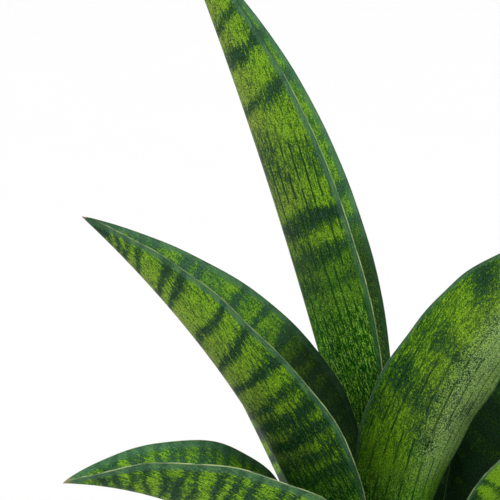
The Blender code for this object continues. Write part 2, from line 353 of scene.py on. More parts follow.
def weathered_group():
    """Mottled mineral surface: three colours mixed by a cloud and a grain, which it gives too."""
    inputs = [(name, COLOUR, GREEN) for name in WEATHERED_COLOURS]
    inputs += [(name, FLOAT, None) for name in WEATHERED_SIZES]
    outputs = [("Color", COLOUR), ("Cloud", FLOAT), ("Grain", FLOAT)]
    tree, sheet, given, end = new_group("Weathered mineral", inputs, outputs)
    where = sheet.object_place()
    cloud = sheet.noise(where, sheet.math("DIVIDE", 1.0, given["Cloud size"]), 4.0, 0.6)
    grain = sheet.noise(where, sheet.math("DIVIDE", 1.0, given["Grain size"]), 3.0, 0.6)
    patch = sheet.times(sheet.ramp(cloud, 0.42, 0.68), given["Patch amount"])
    colour = sheet.blend(patch, given["Base"], given["Patch"])
    speck = sheet.times(sheet.ramp(grain, 0.55, 0.72), given["Speck amount"])
    colour = sheet.blend(speck, colour, given["Speck"])
    sheet.feed(end.inputs["Color"], colour)
    sheet.feed(end.inputs["Cloud"], cloud)
    sheet.feed(end.inputs["Grain"], grain)
    return tree


def group_named(name, builder):
    return bpy.data.node_groups.get(name) or builder()


def new_material(name):
    """A material with its sheet and its Principled shader."""
    material = bpy.data.materials.new(name)
    material.use_nodes = True
    sheet = Sheet(material.node_tree)
    shader = material.node_tree.nodes["Principled BSDF"]
    return material, sheet, shader


def use_group(sheet, tree, values):
    return sheet.node("ShaderNodeGroup", values, node_tree=tree).outputs


def weathered(sheet, colours, amounts, sizes):
    """The weathered mineral of base, patch and speck colours, with the amounts of patch and speck
    and the sizes of cloud and grain."""
    values = dict(zip(WEATHERED_COLOURS + WEATHERED_SIZES, (*colours, *amounts, *sizes)))
    return use_group(sheet, group_named("Weathered mineral", weathered_group), values)


def bump(sheet, shader, height, strength, distance):
    fed = {"Strength": strength, "Distance": distance, "Height": height}
    sheet.feed(shader.inputs["Normal"], sheet.node("ShaderNodeBump", fed).outputs[0])


def coat(sheet, shader, colour, roughness, specular):
    sheet.feed(shader.inputs["Base Color"], colour)
    sheet.feed(shader.inputs["Roughness"], roughness)
    shader.inputs["Specular IOR Level"].default_value = specular


def leaf_material(name, look, marking):
    """The waxy banded skin of one leaf."""
    material, sheet, shader = new_material(name)
    values = {title: sheet.attribute(title.lower(), "Vector") for title in LEAF_MAPS}
    for title in LEAF_COLOURS:
        values[title] = [value * marking.tint for value in getattr(look, title.lower())]
    margin = look.margin_width * MM * marking.margin
    # the shade attribute is the strength of the painted shade inside the fold
    values.update(zip(LEAF_VALUES, (sheet.attribute("shade"), margin, marking.raggedness, marking.spacing)))
    made = use_group(sheet, group_named("Leaf pattern", leaf_pattern_group), values)
    coat(sheet, shader, made["Color"], sheet.plus(made["Roughness"], look.gloss), 0.08)
    bump(sheet, shader, made["Height"], 0.35, 0.0004)
    return material


# Leaves

MM = 1000  # millimetres in a metre
LEAN_EASE = 1.2
BASE_SHARE = 0.42
KEEL_ROUNDING = 0.3
THICKNESS = (0.0045, 0.0016)
THICKEST_SHARE = 0.25
MARGIN_THICKNESS = 0.0005
GAP = 0.0003
LEAF_FOOT = CROWN_TOP + GAP
ROOT_DEPTH = 0.016  # how far a blade is drawn on below its foot, to be cut level there
ACROSS_STEPS = 45
ROWS_PER_MM = 0.8
BODY_END, POINT_START, POINT_END = 0.94, 0.943, 0.9985  # shares of the length
POINT_ROWS = 28
FOLD_SAMPLES = 161
RIM_TURNS = (45, 90, 135)
WAVY_HALF_WIDTH = 0.02  # narrower than this, the edge waves less
FACE_SEED = 40  # sets the noise of the upper face apart from that of the lower
ZONE_SOFT = 0.03  # how softly the stretches of a marking end, as shares of the length
LEVEL_SOFT = 0.012


class Leaf(NamedTuple):
    """Millimetres and degrees. A pair holds the values at the root and at the tip."""

    name: str
    root: tuple[float, float]
    length: float
    heading: tuple[float, float]
    lean: tuple[float, float]
    roll: tuple[float, float]
    width: float
    widest: float
    fold: tuple[float, float]
    taper: float = 1.8


LEAVES = (
    Leaf("leaf_tall", (2, 20), 276, (173, 167), (13, 22), (-2, 10), 80, 0.49, (61, 55), 2.4),
    Leaf("leaf_left", (-16, -10), 194, (197, 148), (13.5, 57), (-14, 17), 83, 0.42, (69, 58)),
    Leaf("leaf_low_left", (-18, -31), 134, (208, 179), (24, 90), (14, 5), 77, 0.45, (65, 48)),
    Leaf("leaf_front_right", (4, -14), 210, (-31, -73), (0, 66), (-34, -53), 58, 0.38, (59, 46)),
    Leaf("leaf_right", (28, -2), 177, (-7, 29), (19, 67.5), (-4, 8), 73, 0.43, (62, 47)),
    Leaf("leaf_back_right", (28, 26), 165, (48, 36), (30, 66), (6, -6), 66, 0.45, (62, 52)),
    Leaf("leaf_back_left", (-20, 22), 150, (150, 138), (20, 52), (-6, 6), 62, 0.45, (64, 54)),
    Leaf("leaf_back_low", (4, 38), 95, (95, 100), (32, 78), (0, 0), 52, 0.45, (64, 50)),
    Leaf("leaf_front_low", (11, -30), 118, (-78, -72), (34, 84), (0, 0), 58, 0.44, (64, 48)),
    Leaf("leaf_right_low", (33, -19), 112, (-24, -12), (46, 92), (0, 0), 56, 0.45, (64, 48)),
    Leaf("leaf_spear", (11, 15), 62, (205, 205), (0, 6), (0, 0), 22, 0.40, (58, 56)),
)


class Marking(NamedTuple):
    """How one leaf is marked.

    Levels hold (from, darkness) and lines, pale, white and edge hold (from, to, strength), with from
    and to as shares of the length. Bands hold (share at half way across, half width in mm, strength). Patches
    hold (share, place across from -1 to 1, radius along and across in mm, amount), dark where the
    amount is above 0. Without bands, a leaf is banded evenly from its seed.
    """

    seed: int
    levels: tuple = ((0.0, 0.75), (0.35, 0.22))
    bands: tuple = ()
    patches: tuple = ()
    slant: float = 4.0  # mm that a band climbs from keel to margin
    lines: tuple = ()
    # pale is where the painted sheen by the keel shows
    pale: tuple = ((0.4, 0.95, 0.6),)
    # white is where the painted glints on the grain show
    white: tuple = ()
    base: tuple[float, float] = (0.16, 0.46)  # the deep green fades out between these
    edge: tuple = ((0.0, 1.0, 0.7),)
    far_edge: float = 0.3  # strength of the edge line on the other margin, as a share
    shade: tuple[float, float] = (0.30, 0.52)  # painted shade darkens the inside of the fold below these shares
    dry: float = 1.0  # how far the dry point reaches
    tint: float = 1.0
    spacing: float = 3.3
    raggedness: float = 1.0
    margin: float = 1.0
    wave: float = 1.0


MARKINGS = {
    "leaf_tall": Marking(
        3,
        levels=(
            (0.0, 0.7), (0.30, 0.54), (0.40, 0.34), (0.54, 0.2), (0.63, 0.38), (0.69, 0.22), (0.9, 0.3),
        ),
        bands=(
            (0.965, 3, 0.6), (0.918, 3, 0.5), (0.866, 2.4, 0.5), (0.818, 3.6, 0.62), (0.748, 3.0, 0.52),
            (0.568, 4.0, 0.75), (0.520, 4.0, 0.4), (0.478, 4, 0.3), (0.43, 4, 0.3),
        ),
        patches=((0.655, 0.25, 12, 8, 0.35), (0.46, 0.2, 10, 9, 0.15), (0.455, 0.7, 9, 9, -0.2)),
        slant=8.0,
        lines=((0.38, 0.70, 1.0), (0.1, 0.38, 0.7)),
        pale=((0.58, 0.95, 0.9), (0.42, 0.60, 0.6)),
        base=(0.38, 0.56),
        shade=(0.46, 0.56),
        edge=((0.0, 0.60, 1.0), (0.60, 0.78, 0.6), (0.78, 1.0, 0.0)),
        spacing=4.4,
        wave=0.15,
    ),
    "leaf_left": Marking(
        5,
        levels=((0.0, 0.5), (0.36, 0.38), (0.46, 0.34), (0.52, 0.18), (0.93, 1.1)),
        bands=(
            (0.925, 1.2, 0.6), (0.900, 1.3, 0.65), (0.875, 1.4, 0.7), (0.843, 1.5, 0.7), (0.787, 2.0, 0.75),
            (0.750, 1.6, 0.75), (0.668, 1.8, 0.75), (0.608, 1.8, 0.75), (0.548, 2.1, 0.75), (0.500, 1.8, 0.4),
            (0.462, 2.4, 0.6), (0.418, 2.4, 0.5), (0.38, 2.6, 0.4), (0.34, 2.6, 0.4), (0.29, 2.6, 0.4),
        ),
        patches=((0.70, 0.15, 6, 7, -0.1), (0.58, 0.75, 5, 6, 0.1), (0.48, 0.7, 5, 9, -0.2)),
        slant=6.0,
        pale=((0.36, 0.95, 0.85),),
        lines=((0.28, 0.50, 0.8),),
        base=(0.22, 0.42),
        shade=(0.50, 0.62),
        tint=0.92,
        edge=((0.0, 0.50, 1.0), (0.50, 0.8, 0.5), (0.8, 0.96, 0.7)),
        spacing=2.8,
        raggedness=1.2,
    ),
    "leaf_low_left": Marking(
        8,
        levels=((0.0, 0.7), (0.30, 0.24), (0.86, 0.50)),
        bands=(
            (0.892, 1.1, 0.6), (0.862, 1.1, 0.6), (0.822, 1.2, 0.65), (0.788, 1.2, 0.65), (0.752, 1.3, 0.65),
            (0.716, 1.3, 0.65), (0.68, 1.2, 0.6), (0.638, 1.4, 0.65), (0.60, 1.2, 0.6), (0.56, 1.4, 0.65),
            (0.515, 1.2, 0.6), (0.47, 1.5, 0.6), (0.42, 1.5, 0.6), (0.37, 1.5, 0.6), (0.32, 1.5, 0.5),
        ),
        slant=4.0,
        pale=((0.5, 0.92, 0.4),),
        base=(0.18, 0.36),
        edge=((0.0, 1.0, 1.0),),
        far_edge=0.8,
        dry=1.2,
        tint=0.92,
        margin=1.35,
        wave=1.8,
    ),
    "leaf_front_right": Marking(
        13,
        levels=((0.0, 0.5), (0.26, 0.30), (0.36, 0.32), (0.44, 0.40), (0.50, 0.38), (0.70, 0.42)),
        bands=((0.95, 3, 0.4), (0.90, 4, 0.4), (0.83, 4, 0.4)),
        patches=(
            (0.475, -0.6, 7, 12, 0.3), (0.59, -0.35, 7, 14, 0.22), (0.73, -0.7, 8, 11, 0.4),
            (0.40, -0.95, 14, 4, 0.2), (0.31, -0.45, 12, 10, -0.12), (0.43, 0.0, 8, 14, 0.14),
            (0.53, -0.6, 7, 10, -0.1), (0.66, -0.45, 12, 12, -0.18), (0.38, 0.04, 5, 2.6, 0.3),
            (0.56, 0.25, 16, 9, 0.12), (0.44, 0.55, 8, 8, 0.2),
        ),
        slant=-3.0,
        lines=((0.24, 0.60, 0.8), (0.60, 0.8, 0.4)),
        pale=((0.40, 0.9, 0.4),),
        # painted glints on the right half of the grain
        white=((0.30, 0.95, 1.4),),
        base=(0.18, 0.40),
        edge=((0.0, 0.55, 0.8), (0.55, 1.0, 0.2)),
        tint=1.08,
        margin=0.55,
        far_edge=1.0,
        spacing=5.2,
        raggedness=0.8,
    ),
    "leaf_right": Marking(
        21,
        levels=((0.0, 0.6), (0.5, 0.4)),
        patches=((0.29, -0.7, 16, 11, -0.8), (0.38, -0.8, 14, 9, -0.7)),
        base=(0.08, 0.22),
        shade=(0.40, 0.72),
        margin=0.5,
        far_edge=1.0,
        tint=1.2,
    ),
    "leaf_back_right": Marking(34, lines=((0.3, 0.6, 0.8),)),
    "leaf_back_left": Marking(55, base=(0.14, 0.4)),
    "leaf_back_low": Marking(89, slant=2.0, wave=1.5),
    "leaf_front_low": Marking(144, slant=3.0, wave=1.4),
    "leaf_right_low": Marking(233, slant=3.0, wave=1.5, tint=0.95),
    "leaf_spear": Marking(377, slant=1.0, base=(0.0, 0.2), tint=1.1),
}


def placed(name, data):
    """A new object in the scene."""
    made = bpy.data.objects.new(name, data)
    bpy.context.scene.collection.objects.link(made)
    return made


def mesh_of(name, bm):
    mesh = bpy.data.meshes.new(name)
    bm.to_mesh(mesh)
    bm.free()
    return mesh


def mesh_from(name, points, faces):
    mesh = bpy.data.meshes.new(name)
    mesh.from_pydata(points, [], faces)
    return mesh


def quads(count, size):
    """The faces between each of count rings of size points and the next."""
    return [
        (i * size + j, i * size + (j + 1) % size, (i + 1) * size + (j + 1) % size, (i + 1) * size + j)
        for i in range(count - 1)
        for j in range(size)
    ]


def rise(value, start, stop):
    """A smooth step from 0 at start to 1 at stop."""
    share = np.clip((value - start) / (stop - start), 0, 1)
    return share * share * (3 - 2 * share)


def between(pair, share):
    return pair[0] + (pair[1] - pair[0]) * share


def zone(stretches, share):
    """The strongest of (from, to, strength) at each share, with soft ends."""
    total = np.zeros_like(share)
    for start, stop, strength in stretches:
        rising = rise(share, start - ZONE_SOFT, start + ZONE_SOFT) if start > 0 else 1
        falling = 1 - rise(share, stop - ZONE_SOFT, stop + ZONE_SOFT) if stop < 1 else 1
        total = np.maximum(total, rising * falling * strength)
    return total


def bands_of(leaf, marking):
    if marking.bands:
        return marking.bands
    dice = Random(marking.seed)
    at, found = 0.99, []
    while at > 0.15:
        found.append((at, dice.uniform(1.6, 3.2), dice.uniform(0.7, 1.0)))
        at -= dice.uniform(6.0, 11.0) / leaf.length
    return tuple(found)


def blade_frame(leaf, share):
    """Points of the midline with the direction along, the side and the upper face at each share."""
    lean = np.radians(between(leaf.lean, share**LEAN_EASE))
    heading = np.radians(between(leaf.heading, share))
    roll = np.radians(between(leaf.roll, share))[:, None]
    out, up = np.sin(lean), np.cos(lean)
    east, north = np.cos(heading), np.sin(heading)
    along = np.stack([out * east, out * north, up], -1)
    inward = np.stack([-up * east, -up * north, out], -1)
    side = np.cross(inward, along)
    steps = (along[1:] + along[:-1]) / 2 * np.diff(share)[:, None] * leaf.length / MM
    points = np.concatenate([np.zeros((1, 3)), np.cumsum(steps, 0)])
    points += (leaf.root[0] / MM, leaf.root[1] / MM, LEAF_FOOT)
    rolled = np.cos(roll) * side + np.sin(roll) * inward
    return points, along, rolled, np.cos(roll) * inward - np.sin(roll) * side


def half_width(leaf, share):
    rising = BASE_SHARE + (1 - BASE_SHARE) * rise(share, 0, leaf.widest)
    past = np.clip((share - leaf.widest) / (1 - leaf.widest), 0, 1)
    return leaf.width / 2 / MM * np.where(share < leaf.widest, rising, 1 - past**leaf.taper)


def folded_line(fold, across):
    """The folded outer line of a blade of half width 1: x, y and slope at each place across."""
    fine = np.linspace(-1, 1, FOLD_SAMPLES)
    slope = fold * np.tanh(fine / KEEL_ROUNDING) / np.tanh(1 / KEEL_ROUNDING)
    steps = np.diff(fine)
    x = np.concatenate([[0], np.cumsum((np.cos(slope[1:]) + np.cos(slope[:-1])) / 2 * steps)])
    y = np.concatenate([[0], np.cumsum((np.sin(slope[1:]) + np.sin(slope[:-1])) / 2 * steps)])
    keel = FOLD_SAMPLES // 2
    return [np.interp(across, fine, values) for values in (x - x[keel], y - y[keel], slope)]


def blade_points(leaf, marking, wave):
    """Rings of points round the blade, with the five sets of values that its material reads."""
    body = np.linspace(0, BODY_END, int(leaf.length * ROWS_PER_MM))
    share = np.concatenate([body, np.linspace(POINT_START, POINT_END, POINT_ROWS)])
    points, along, side, upper = blade_frame(leaf, share)
    share = np.concatenate([[-ROOT_DEPTH * MM / leaf.length], share])
    points = np.concatenate([points[:1] - along[:1] * ROOT_DEPTH, points])
    side, upper = (np.concatenate([part[:1], part]) for part in (side, upper))
    clear = np.clip(share, 0, 1)
    across = np.linspace(-1, 1, ACROSS_STEPS)
    half = half_width(leaf, clear)
    phase = marking.seed * 1.7
    band = band_field(leaf, marking, share, across)
    lined, pale, white = (zone(part, share) for part in (marking.lines, marking.pale, marking.white))
    # shade is the strength of the painted shade inside the fold, strongest at the foot
    base, shade = 1 - rise(share, *marking.base), 1 - rise(share, *marking.shade)
    edge_strength = zone(marking.edge, share)
    from_tip = (1 - share) * leaf.length / marking.dry
    wide = around(across, 1, across, -1)
    face = around(0 * across, 0.5, 0 * across + 1, 0.5)
    # where the painted keel sheen shows, mostly on the outer face
    keel = np.exp(-((wide / 0.55) ** 2)) * np.where(face < 0.5, 1, 0.25)
    # the half of the blade that carries the painted glints
    painted_glint_side = rise(wide, -0.2, 0.3)
    edged = np.where(wide > 0, 1.0, marking.far_edge)
    rings, values = [], {"place": [], "marks": [], "zones": [], "ends": [], "shade": []}
    for i, at in enumerate(clear):
        x, y, slope = folded_line(radians(between(leaf.fold, at)), across)
        wave_at = at * leaf.length
        ripple = np.sin(wave_at / 9 + phase + 2.1 * np.sign(across)) + 0.6 * np.sin(wave_at / 4.1)
        lift = wave * marking.wave * ripple * np.abs(across) ** 3 * min(1.0, half[i] / WAVY_HALF_WIDTH)
        normal = np.cos(slope)[:, None] * upper[i] - np.sin(slope)[:, None] * side[i]
        outer = points[i] + half[i] * (x[:, None] * side[i] + y[:, None] * upper[i]) + normal * lift[:, None]
        thickest = min(between(THICKNESS, at), THICKEST_SHARE * half[i])
        edge = min(MARGIN_THICKNESS, thickest)
        depth = edge + (thickest - edge) * (1 - np.abs(across) ** 2.2)
        inner = outer + normal * depth[:, None]
        rims = []
        for end, sign in ((-1, 1), (0, -1)):
            outward = sign * (np.cos(slope[end]) * side[i] + np.sin(slope[end]) * upper[i])
            rims.append([
                outer[end] + edge / 2 * (normal[end] * (1 - cos(turn)) + outward * sin(turn))
                for turn in np.radians(RIM_TURNS)
            ])
        rings.append(np.concatenate([outer, rims[0], inner[::-1], rims[1][::-1]]))
        dark = around(band[i], band[i][-1], band[i], band[i][0])
        rows = {
            "place": (wide * half[i] * MM, share[i] * leaf.length, marking.seed + FACE_SEED * face),
            "marks": (dark, lined[i] * (1 - 0.7 * face), pale[i] * keel),
            "zones": ((1 - np.abs(wide)) * half[i] * MM, face, base[i]),
            "ends": (from_tip[i], edge_strength[i] * edged, white[i] * painted_glint_side),
        }
        for title, parts in rows.items():
            values[title].append(np.stack(np.broadcast_arrays(*parts), -1))
        # painted shade, on the inner face only
        values["shade"].append(face * shade[i])
    return rings, values


def around(outer, right, inner, left):
    """Values round a ring: over the outer face, the right rim, the inner face and the left rim."""
    rim = len(RIM_TURNS)
    return np.concatenate([outer, np.full(rim, right), inner[::-1], np.full(rim, left)])


def band_field(leaf, marking, share, across):
    """Darkness of the pattern, from 0 to 1, at every share and place across."""
    field = np.full((len(share), len(across)), marking.levels[0][1])
    for (_, before), (start, level) in zip(marking.levels, marking.levels[1:]):
        field += (level - before) * rise(share, start - LEVEL_SOFT, start + LEVEL_SOFT)[:, None]
    climb = marking.slant * (np.abs(across) ** 1.3 - 0.4) / leaf.length
    for at, wide, strength in bands_of(leaf, marking):
        wander = 0.7 * np.sin(across * 4 + marking.seed + at * 60) + 0.4 * np.sin(across * 11 + at * 90)
        reach = wide * (1 + 0.25 * np.sin(across * 7 + at * 130))
        off = (share[:, None] - at - climb - wander / leaf.length) * leaf.length / reach
        field += strength * np.exp(-(np.abs(off) ** 2.6))
    for at, across_at, tall, wide, amount in marking.patches:
        along_off = (share[:, None] - at) * leaf.length / tall
        across_off = (across - across_at) * leaf.width / 2 / wide
        field += amount * np.exp(-(along_off**2) - across_off**2)
    return field


def mesh_from_rings(name, rings, values):
    """A closed mesh from equal rings, flat at the start and drawn to a point at the end."""
    count, size = len(rings), len(rings[0])
    points = np.concatenate([*rings, rings[-1].mean(0)[None]])
    faces = quads(count, size)
    last, tip = (count - 1) * size, count * size
    faces += [(last + j, last + (j + 1) % size, tip) for j in range(size)]
    faces.append(tuple(range(size))[::-1])
    mesh = mesh_from(name, points.tolist(), faces)
    for title, rows in values.items():
        kind, field = ("FLOAT_VECTOR", "vector") if rows[0].ndim > 1 else ("FLOAT", "value")
        layer = mesh.attributes.new(title, kind, "POINT")
        flat = np.concatenate([*rows, rows[-1][:1]])
        layer.data.foreach_set(field, flat.astype(np.float32).ravel())
    return mesh


def seat_level(mesh, height):
    """Cuts a mesh level at a height, keeps what is above and closes the cut."""
    bm = bmesh.new()
    bm.from_mesh(mesh)
    whole = list(bm.verts) + list(bm.edges) + list(bm.faces)
    plane = {"plane_co": (0, 0, height), "plane_no": (0, 0, 1)}
    cut = bmesh.ops.bisect_plane(bm, geom=whole, clear_inner=True, **plane)
    rim = [piece for piece in cut["geom_cut"] if isinstance(piece, bmesh.types.BMEdge)]
    bmesh.ops.contextual_create(bm, geom=rim)
    bmesh.ops.recalc_face_normals(bm, faces=bm.faces)
    bm.to_mesh(mesh)
    bm.free()


def place_piece(mesh, material, name, node=None, slot=None, smooth=True):
    """Links a finished mesh as a piece that rides on the root body."""
    mesh.materials.append(material)
    if smooth:
        mesh.shade_smooth()
    piece = placed(name, mesh)
    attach(piece, "root")
    if node:
        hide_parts(node)
    slot or node


class PLANT_OT_leaves(bpy.types.Operator):
    """Grow the eleven keeled leaves from the crown"""

    bl_idname = "snake_plant.leaves"
    bl_label = "Leaves"

    def execute(self, context):
        look = context.scene.snake_plant_leaf
        for leaf in LEAVES:
            marking = MARKINGS[leaf.name]
            rings, values = blade_points(leaf, marking, look.wave)
            mesh = mesh_from_rings(leaf.name + "_blade", rings, values)
            seat_level(mesh, LEAF_FOOT)
            skin = leaf_material(leaf.name + "_skin", look, marking)
            place_piece(mesh, skin, leaf.name + "_blade", leaf.name)
        return {"FINISHED"}


# Rhizome, potting mix and pot

POT_BASE_RADIUS = 0.045
POT_SHOULDER_RADIUS = 0.0575
POT_RIM_BAND = 0.018
POT_WALL = 0.0045
POT_RIM_WALL = 0.007
POT_FLOOR = 0.006
DRAIN_RADIUS = 0.0045
DRAIN_RING_RADIUS = 0.022
DRAIN_COUNT = 4
DRAIN_TURNS = 40
MIX_DIP = 0.0015
POT_TURNS = 200
MIX_TURNS = 260
CROWN_MARGIN = 0.0035
CROWN_TURNS = 120
CROWN_LEVELS = ((0.070, 0.35), (0.076, 0.66), (0.084, 0.90), (0.092, 1.0), (0.0985, 1.0), (CROWN_TOP, 0.975))
CROWN_LEAST_RADIUS = 0.026
LOBE_FLAT, LOBE_REACH, LOBE_FALL = 0.12, 0.9, 0.02  # radians, radians and metres a radian from a foot
CROWN_VOXEL = 0.0010
FOOT_BAND = 0.006  # a leaf's foot is what lies this near the crown's top
RUNNER_RADIUS = 0.008
RUNNER_TURNS = 24
RUNNERS = (
    ((-0.006, 0.004, 0.078), (-0.040, 0.016, 0.066)),
    ((0.004, -0.006, 0.078), (0.034, -0.024, 0.062)),
    ((0.004, 0.008, 0.078), (0.020, 0.038, 0.070)),
)


def pot_inside(height):
    """Radius of the pot's inside at a height: one taper from the floor to the lip."""
    shoulder = POT_HEIGHT - POT_RIM_BAND
    low = POT_BASE_RADIUS + (POT_SHOULDER_RADIUS - POT_BASE_RADIUS) * POT_FLOOR / shoulder - POT_WALL
    high = POT_RIM_RADIUS - POT_RIM_WALL
    return low + (high - low) * (height - POT_FLOOR) / (POT_HEIGHT - POT_FLOOR)


def softened(corners, step):
    """A profile through (radius, height, rounding) corners, rounded at each and cut into short steps."""
    points = [np.array(corner[:2]) for corner in corners]
    line = [points[0]]
    for before, corner, after, (_, _, reach) in zip(points, points[1:], points[2:], corners[1:]):
        start = corner + (before - corner) / np.linalg.norm(before - corner) * reach
        stop = corner + (after - corner) / np.linalg.norm(after - corner) * reach
        line += [start * (1 - t) ** 2 + corner * 2 * t * (1 - t) + stop * t * t for t in np.linspace(0, 1, 6)]
    line.append(points[-1])
    fine = [line[0]]
    for point in line[1:]:
        count = max(1, round(float(np.linalg.norm(point - fine[-1])) / step))
        fine += [fine[-1] + (point - fine[-1]) * i / count for i in range(1, count + 1)]
    return fine


def whole_turn(steps):
    """That many directions, evenly round."""
    return np.arange(steps) * 2 * pi / steps


def turned(name, profile, steps, shift):
    """A closed turned mesh with flat ends. Shift moves each point a little."""
    points = [
        shift(Vector((radius * cos(turn), radius * sin(turn), height)))
        for radius, height in profile
        for turn in whole_turn(steps)
    ]
    faces = quads(len(profile), steps)
    faces.append(tuple(range(steps))[::-1])
    faces.append(tuple(range((len(profile) - 1) * steps, len(profile) * steps)))
    return mesh_from(name, points, faces)


def applied(mesh, modifiers):
    """The mesh with modifiers, given as (kind, settings), applied to it."""
    holder = placed("work", mesh)
    for kind, settings in modifiers:
        modifier = holder.modifiers.new(kind, kind)
        for name, value in settings.items():
            setattr(modifier, name, value)
    bpy.context.view_layer.update()
    graph = bpy.context.evaluated_depsgraph_get()
    result = bpy.data.meshes.new_from_object(holder.evaluated_get(graph))
    bpy.data.objects.remove(holder)
    return result


def uneven(place, *octaves):
    """Noise at a place, summed over (height, waves a metre)."""
    return sum(height * noise.noise(place * rate) for height, rate in octaves)


def crown_reach():
    """Radius of the lobed crown in each direction, and the points of the leaves' feet."""
    angles = whole_turn(CROWN_TURNS)
    reach = np.full(CROWN_TURNS, CROWN_LEAST_RADIUS)
    feet = []
    for leaf in LEAVES:
        rings, _ = blade_points(leaf, MARKINGS[leaf.name], 0)
        feet += [point for ring in rings[:12] for point in ring[::2] if abs(point[2] - CROWN_TOP) < FOOT_BAND]
        for ring in rings[:4]:
            for x, y, z in ring[::4]:
                off = np.abs((angles - np.arctan2(y, x) + pi) % (2 * pi) - pi)
                needed = np.hypot(x, y) + CROWN_MARGIN - LOBE_FALL * np.maximum(off - LOBE_FLAT, 0)
                near = (off < LOBE_REACH) & (z < CROWN_TOP + FOOT_BAND / 2)
                reach = np.maximum(reach, np.where(near, needed, 0))
    return angles, (np.roll(reach, 2) + np.roll(reach, -2) + reach) / 3, np.array(feet)


def tube(bm, rings):
    """Adds a closed tube through equal rings of points."""
    loops = [[bm.verts.new(point) for point in ring] for ring in rings]
    for low, high in zip(loops, loops[1:]):
        for i in range(len(low)):
            j = (i + 1) % len(low)
            bm.faces.new((low[i], low[j], high[j], high[i]))
    bm.faces.new(loops[0][::-1])
    bm.faces.new(loops[-1])


class PLANT_OT_rhizome(bpy.types.Operator):
    """Form the lobed crown and its three buried runners"""

    bl_idname = "snake_plant.rhizome"
    bl_label = "Rhizome"

    def execute(self, context):
        bm = bmesh.new()
        angles, reach, _ = crown_reach()
        east, north = reach * np.cos(angles), reach * np.sin(angles)
        tube(bm, [[(x * size, y * size, z) for x, y in zip(east, north)] for z, size in CROWN_LEVELS])
        for start, end in RUNNERS:
            tube(bm, self.runner(Vector(start), Vector(end)))
        bmesh.ops.recalc_face_normals(bm, faces=bm.faces)
        remesh = ("REMESH", {"mode": "VOXEL", "voxel_size": CROWN_VOXEL})
        mesh = applied(mesh_of("rough_crown", bm), (remesh, ("SMOOTH", {"iterations": 3})))
        mesh.name = "rhizome_crown"
        for vertex in mesh.vertices:
            place = vertex.co
            swell = uneven(place, (0.0011, 90), (0.0004, 320))
            ring = 0.00035 * sin(place.length * 1900 + uneven(place, (3, 60)))
            vertex.co += vertex.normal * (swell + ring)
            vertex.co.z = min(vertex.co.z, CROWN_TOP + 0.0001)
        place_piece(mesh, self.skin(context.scene.snake_plant_mix), "rhizome_crown", "rhizome")
        return {"FINISHED"}

    def runner(self, start, end):
        along = (end - start).normalized()
        side = along.cross((0, 0, 1)).normalized()
        above = side.cross(along)
        shares = ((0.0, 0.5), (0.05, 0.85), (0.3, 0.95), (0.5, 0.88), (0.7, 1.0), (0.9, 0.85), (1.0, 0.4))
        ring = [(side * cos(a) + above * sin(a)) * RUNNER_RADIUS for a in whole_turn(RUNNER_TURNS)]
        return [[start + (end - start) * share + point * size for point in ring] for share, size in shares]

    def skin(self, look):
        material, sheet, shader = new_material("rhizome_skin")
        made = weathered(sheet, (look.rhizome, look.bark, look.peat), (0.8, 0.6), (0.012, 0.0016))
        coat(sheet, shader, made["Color"], sheet.ramp(made["Cloud"], 0.3, 0.7, 0.6, 0.85), 0.5)
        bump(sheet, shader, made["Grain"], 0.6, 0.0006)
        return material


class Crumb(NamedTuple):
    """A kind of loose piece: least and greatest size, proportions, and how boxy it is below 1."""

    name: str
    sizes: tuple[float, float]
    shape: tuple[float, float, float]
    square: float
    detail: int  # how finely its ball is cut


CRUMBS = Crumb("peat_crumbs", (0.0006, 0.0019), (1.0, 0.9, 0.75), 1.0, 1)
CHIPS = Crumb("bark_chips", (0.0020, 0.0046), (1.0, 0.55, 0.22), 0.55, 2)
GRAINS = Crumb("perlite_grains", (0.0007, 0.0021), (1.0, 0.95, 0.85), 0.9, 1)
WALL_CLEARANCE = 0.0008
FOOT_CLEARANCE = 0.0022
DENT = 0.16  # how dented a crumb is, as a share of its size


